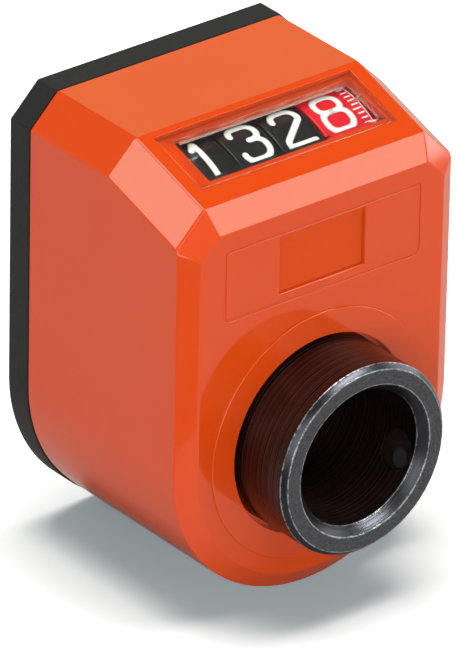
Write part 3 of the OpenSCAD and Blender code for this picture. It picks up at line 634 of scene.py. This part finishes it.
def drawStroke(name, corners, closed):
    # a flat round-ended stroke in the XY plane, in millimetres
    half = digitStrokes["width"] / 2
    path = [(p, 1.0) for p in roundPath(corners, closed, digitStrokes["cornerSteps"])]
    if not closed:
        for end, inner, place in ((path[0][0], path[1][0], 0), (path[-1][0], path[-2][0], len(path))):
            out = (end - inner).normalized()
            # the last point keeps a sliver of width, so that the end closes
            cap = [(end + out * half * s, math.sqrt(max(1 - s * s, 0.0004))) for s in digitStrokes["capSteps"]]
            path = cap[::-1] + path if place == 0 else path + cap
    bpy.ops.object.select_all(action="DESELECT")
    bpy.ops.curve.primitive_nurbs_path_add()
    line = bpy.context.object
    line.name = name
    line.data.splines.clear()
    spline = line.data.splines.new("POLY")
    spline.points.add(len(path) - 1)
    for point, (place, radius) in zip(spline.points, path):
        point.co = (place.x, place.y, 0, 1)
        point.radius = radius
    spline.use_cyclic_u = closed
    line.data.bevel_depth = half
    line.data.bevel_resolution = 1
    onlySelect(line)
    bpy.ops.object.convert(target="MESH")
    bpy.ops.object.mode_set(mode="EDIT")
    bpy.ops.mesh.select_all(action="SELECT")
    bpy.ops.mesh.remove_doubles(threshold=digitStrokes["merge"])
    bpy.ops.mesh.normals_make_consistent(inside=False)
    bpy.ops.transform.resize(value=(1, 1, digitStrokes["ink"] / digitStrokes["width"]))
    bpy.ops.object.mode_set(mode="OBJECT")
    return line


def joinPieces(parts, name):
    onlySelect(parts[0])
    for part in parts:
        part.select_set(True)
    if len(parts) > 1:
        bpy.ops.object.join()
    whole = bpy.context.object
    whole.name = whole.data.name = name
    return whole


def wrapOnDrum(piece, across, angle):
    # lays a flat print on the drum, its middle at an angle in front of the top
    y0, z0 = drumSet["axis"]
    for v in piece.data.vertices:
        a = math.radians(angle) - v.co.y / drumSet["radius"]
        r = drumSet["radius"] + digitStrokes["lift"] + v.co.z
        v.co = Vector((across + v.co.x, y0 - r * math.sin(a), z0 + r * math.cos(a))) * mm


glyphs = []
for n in range(10):
    strokes = enumerate(digitStrokes[n])
    drawn = [drawStroke(f"stroke_{n}_{k}", corners, closed) for k, (closed, corners) in strokes]
    glyphs.append(joinPieces(drawn, f"glyph_{n}"))


def onRim(p):
    y, z = drumSet["axis"]
    return math.hypot(p.y - y, p.z - z) > drumSet["rimFrom"]


for name, across, shown in drumSet["drums"]:
    prints = []
    for n, glyph in enumerate(glyphs):
        copy = glyph.copy()
        copy.data = glyph.data.copy()
        bpy.context.collection.objects.link(copy)
        wrapOnDrum(copy, across, drumSet["angle"] + drumSet["step"] * (n - shown))
        prints.append(copy)
    digits = joinPieces(prints, name + "_digits")
    bpy.ops.object.shade_smooth()
    paint(digits, finishes["ink"])
    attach(digits, name + "_body")
    drum = copyOf(name + "_drum", name + "_drum_rounded", drumSet["merge"])
    roundEdges(drum, drumSet["rim"], drumSet["rimSteps"], drumSet["rimSharp"], onRim)
    smoothFlats(drum, drumSet["smooth"])
    paint(drum, finishes["redDrum" if name == "units" else "blackDrum"])
    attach(drum, name + "_body")
    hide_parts(name + "_drum")
for glyph in glyphs:
    bpy.data.objects.remove(glyph)
print("drums and digits made")


# units scale: a hundred printed ticks, a long one at each digit
unitTicks = {"count": 100, "longEvery": 10, "right": 11.0, "short": 0.75, "long": 1.0, "width": 0.15, "ink": 0.05,
             "corner": 0.05, "angle": 22.0, "line": 0.07, "lineAt": 11.17, "lineLift": 0.037, "lineSides": 120}


def oneTick(length):
    bpy.ops.object.select_all(action="DESELECT")
    bpy.ops.mesh.primitive_cube_add(size=1)
    tick = bpy.context.object
    bpy.ops.object.mode_set(mode="EDIT")
    bpy.ops.transform.resize(value=(length, unitTicks["width"], unitTicks["ink"]))
    bpy.ops.mesh.select_all(action="DESELECT")
    mesh = bmesh.from_edit_mesh(tick.data)
    for edge in mesh.edges:  # the four upright ones
        edge.select = abs(edge.verts[0].co.z - edge.verts[1].co.z) > unitTicks["ink"] / 2
    bmesh.update_edit_mesh(tick.data)
    bpy.ops.mesh.bevel(offset=unitTicks["corner"], segments=2, affect="EDGES")
    bpy.ops.object.mode_set(mode="OBJECT")
    return tick


ticks = []
shortTick, longTick = oneTick(unitTicks["short"]), oneTick(unitTicks["long"])
for k in range(unitTicks["count"]):
    isLong = k % unitTicks["longEvery"] == 0
    first, length = (longTick, unitTicks["long"]) if isLong else (shortTick, unitTicks["short"])
    tick = first.copy()
    tick.data = first.data.copy()
    bpy.context.collection.objects.link(tick)
    wrapOnDrum(tick, unitTicks["right"] - length / 2, unitTicks["angle"] + 360 / unitTicks["count"] * k)
    ticks.append(tick)
for first in (shortTick, longTick):
    bpy.data.objects.remove(first)
# the line that the ticks stand on, round the drum
y0, z0 = drumSet["axis"]
bpy.ops.object.select_all(action="DESELECT")
bpy.ops.mesh.primitive_cylinder_add(vertices=unitTicks["lineSides"], depth=unitTicks["line"] * mm,
                                    radius=(drumSet["radius"] + unitTicks["lineLift"]) * mm,
                                    end_fill_type="NOTHING", rotation=(0, math.pi / 2, 0),
                                    location=(unitTicks["lineAt"] * mm, y0 * mm, z0 * mm))
ringLine = bpy.context.object
bpy.ops.object.transform_apply(location=True, rotation=True, scale=True)
thick = ringLine.modifiers.new("thick", "SOLIDIFY")
thick.thickness = unitTicks["ink"] * mm
bpy.ops.object.modifier_apply(modifier=thick.name)
ticks.append(ringLine)
scale = joinPieces(ticks, "units_scale")
paint(scale, finishes["ink"])
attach(scale, "units_body")
print("units scale made")


# stage: pale floor and soft studio light. Lamps are in metres, cards and flag in mm. Two softboxes have a tint,
# which keeps the red of the facets that mirror them as in the photograph
stageSet = {
    "floor": -16.64, "size": 6.0, "worldLow": 0.58, "worldHigh": 0.12, "ceiling": (0.42, 0.62), "wall": "#EBE7E2",
    # lift and its strength: a faint bluish glow painted on the floor where the camera sees it, painted shade tint
    # that lightens and cools the floor's shadows
    "direct": (1.9, 1.95, 1.98, 1.0), "lift": "#A8E6FF", "paintedGlowStrength": 0.08, "mirrored": (1.0, 1.0, 1.0, 1.0),
    "aim": (0, -0.013, 0.008),
    "lamps": {
        "key_softbox": {"at": (0.03, 0.02, 1.0), "size": (0.7, 0.42), "power": 6.3, "colour": "#FFF8F2",
                        "lights": "all"},
        "left_softbox": {"at": (-0.255, 0.12, 0.285), "size": (0.08, 0.08), "power": 0.094, "colour": "#BCFFF0",
                         "lights": "part"},
        "front_softbox": {"at": (0.222, -0.329, 0.163), "size": (0.12, 0.12), "power": 0.195,
                          "colour": "#BCFFEF", "lights": "part"},
        "top_softbox": {"at": (-0.18, -0.5, 0.43), "size": (0.2, 0.16), "power": 0.6, "colour": "#FFFFFF",
                        "lights": "case"},
        "right_fill": {"at": (0.34, -0.06, 0.1), "size": (0.2, 0.2), "power": 0.5, "colour": "#FFFFFF",
                       "lights": "part"},
        "front_fill": {"at": (-0.36, -0.42, 0.1), "size": (0.4, 0.4), "power": 1.9, "colour": "#FFFFFF",
                       "lights": "part"},
        "chamfer_softbox": {"at": (0.14, -0.29, 0.405), "size": (0.28, 0.12), "power": 3.0, "colour": "#FFFFFF",
                            "lights": "bushing"},
    },
    "flag": {"at": (-70, -75, -16.4), "size": 75},
    "cards": {
        "white_card": {"at": (200, 190, -16.4), "size": 360, "turn": (0, 0, 0), "colour": "#FFF0DC",
                       "strength": 0.6, "edgesOnly": False},
        "cream_card": {"at": (277, 340, 270), "size": 260, "turn": (60, 0, -39), "colour": "#FAFFBE",
                       "strength": 0.8, "edgesOnly": False},
        "edge_card": {"at": (249, -60, 392), "size": 140, "turn": (0, 33.7, -7.6), "colour": "#FFF0DC",
                      "strength": 12.0, "edgesOnly": True},
    },
}


def paleFloor():
    # white matt board with a very faint grain; seen straight it is a brighter, slightly cool sheet with a faint
    # bluish painted glow that lightens and cools its shadows, in gloss or through glass a whiter sheet
    material, tree = newMaterial("white_matt_board")
    place = add(tree, "ShaderNodeTexCoord").outputs["Object"]
    fibre = add(tree, "ShaderNodeTexNoise", {}, {"Vector": place, "Scale": perSize(2.0), "Detail": 2.0})
    tint = add(tree, "ShaderNodeMix", {"data_type": "RGBA"},
               {0: fibre.outputs[0], 6: hexColour("#E0E3E4"), 7: hexColour("#E4E7E8")})
    board = add(tree, "ShaderNodeBsdfDiffuse", {}, {"Color": tint.outputs[2]})
    white = add(tree, "ShaderNodeBsdfDiffuse", {}, {"Color": stageSet["direct"]})
    # painted shade tint: a faint bluish glow, seen only by the camera, that lightens and cools the floor's
    # shadows
    paintedShadowGlow = add(tree, "ShaderNodeEmission", {},
               {"Color": hexColour(stageSet["lift"]), "Strength": stageSet["paintedGlowStrength"]})
    both = add(tree, "ShaderNodeAddShader", {}, {0: white.outputs[0], 1: paintedShadowGlow.outputs[0]})
    path = add(tree, "ShaderNodeLightPath").outputs
    mirrored = add(tree, "ShaderNodeMath", {"operation": "MAXIMUM"},
                   {0: path["Is Glossy Ray"], 1: path["Is Transmission Ray"]})
    sheet = add(tree, "ShaderNodeBsdfDiffuse", {}, {"Color": stageSet["mirrored"]})
    around = add(tree, "ShaderNodeMixShader", {},
                 {0: mirrored.outputs[0], 1: board.outputs[0], 2: sheet.outputs[0]})
    mixed = add(tree, "ShaderNodeMixShader", {},
                {0: path["Is Camera Ray"], 1: around.outputs[0], 2: both.outputs[0]})
    add(tree, "ShaderNodeOutputMaterial", {}, {"Surface": mixed.outputs[0]})
    return material


bpy.ops.object.select_all(action="DESELECT")
bpy.ops.mesh.primitive_plane_add(size=stageSet["size"], location=(0, 0, stageSet["floor"] * mm))
floor = bpy.context.object
floor.name = "studio_floor"
paint(floor, paleFloor())
# black flag beside the view, seen only in the gloss of the front-left bevel
bpy.ops.mesh.primitive_plane_add(size=stageSet["flag"]["size"] * mm, location=Vector(stageSet["flag"]["at"]) * mm)
flag = bpy.context.object
flag.name = "black_flag"
flag.visible_camera = flag.visible_diffuse = flag.visible_shadow = False
paint(flag, finishes["base"])

# cards seen only in gloss: the white one in the right-hand bevels, the cream one in the top, and the third in
# the rounded edges of case and pane, without the drums behind the pane
edgePieces = bpy.data.collections.new("edge_pieces")
for piece in (shell, pane):
    edgePieces.objects.link(piece)
for name, card in stageSet["cards"].items():
    bpy.ops.mesh.primitive_plane_add(size=card["size"] * mm, location=Vector(card["at"]) * mm,
                                     rotation=[math.radians(a) for a in card["turn"]])
    sheet = bpy.context.object
    sheet.name = name
    sheet.visible_camera = sheet.visible_diffuse = sheet.visible_shadow = False
    cardMaterial, cardTree = newMaterial(name + "_lit")
    cardLight = add(cardTree, "ShaderNodeEmission", {},
                    {"Color": hexColour(card["colour"]), "Strength": card["strength"]})
    add(cardTree, "ShaderNodeOutputMaterial", {}, {"Surface": cardLight.outputs[0]})
    paint(sheet, cardMaterial)
    if card["edgesOnly"]:
        sheet.light_linking.receiver_collection = edgePieces
        sheet.visible_transmission = False

world = bpy.data.worlds.new("studio")
bpy.context.scene.world = world
world.use_nodes = True
world.node_tree.nodes.clear()
sky = add(world.node_tree, "ShaderNodeTexCoord").outputs["Generated"]
height = add(world.node_tree, "ShaderNodeSeparateXYZ", {}, {"Vector": sky}).outputs[2]
# pale walls, darker studio ceiling
level = add(world.node_tree, "ShaderNodeMapRange", {"interpolation_type": "SMOOTHSTEP"},
            {"Value": height, "From Min": stageSet["ceiling"][0], "From Max": stageSet["ceiling"][1],
             "To Min": stageSet["worldLow"], "To Max": stageSet["worldHigh"]})
ambient = add(world.node_tree, "ShaderNodeBackground", {},
              {"Color": hexColour(stageSet["wall"]), "Strength": level.outputs[0]})
add(world.node_tree, "ShaderNodeOutputWorld", {}, {"Surface": ambient.outputs[0]})

# the fill lamps shape the part and leave the floor's shadow to the key, one of them leaves out the bushing, and
# one lamp is for the bushing's chamfers alone
receivers = {"all": None}
for group, members, state in (("part", [floor], "EXCLUDE"), ("case", [floor, bushing], "EXCLUDE"),
                              ("bushing", [bushing], "INCLUDE")):
    receivers[group] = bpy.data.collections.new("lamps_for_" + group)
    for member in members:
        receivers[group].objects.link(member)
    for link in receivers[group].collection_objects:
        link.light_linking.link_state = state
for name, spec in stageSet["lamps"].items():
    bpy.ops.object.light_add(type="AREA", location=spec["at"])
    lamp = bpy.context.object
    lamp.name = name
    lamp.data.shape = "RECTANGLE"
    lamp.data.size, lamp.data.size_y = spec["size"]
    lamp.data.energy = spec["power"]
    lamp.data.color = hexColour(spec["colour"])[:3]
    lamp.light_linking.receiver_collection = receivers[spec["lights"]]
    towards = Vector(stageSet["aim"]) - Vector(spec["at"])
    lamp.rotation_euler = towards.to_track_quat("-Z", "Y").to_euler()

bpy.context.scene.view_settings.view_transform = "Standard"
print("stage set")
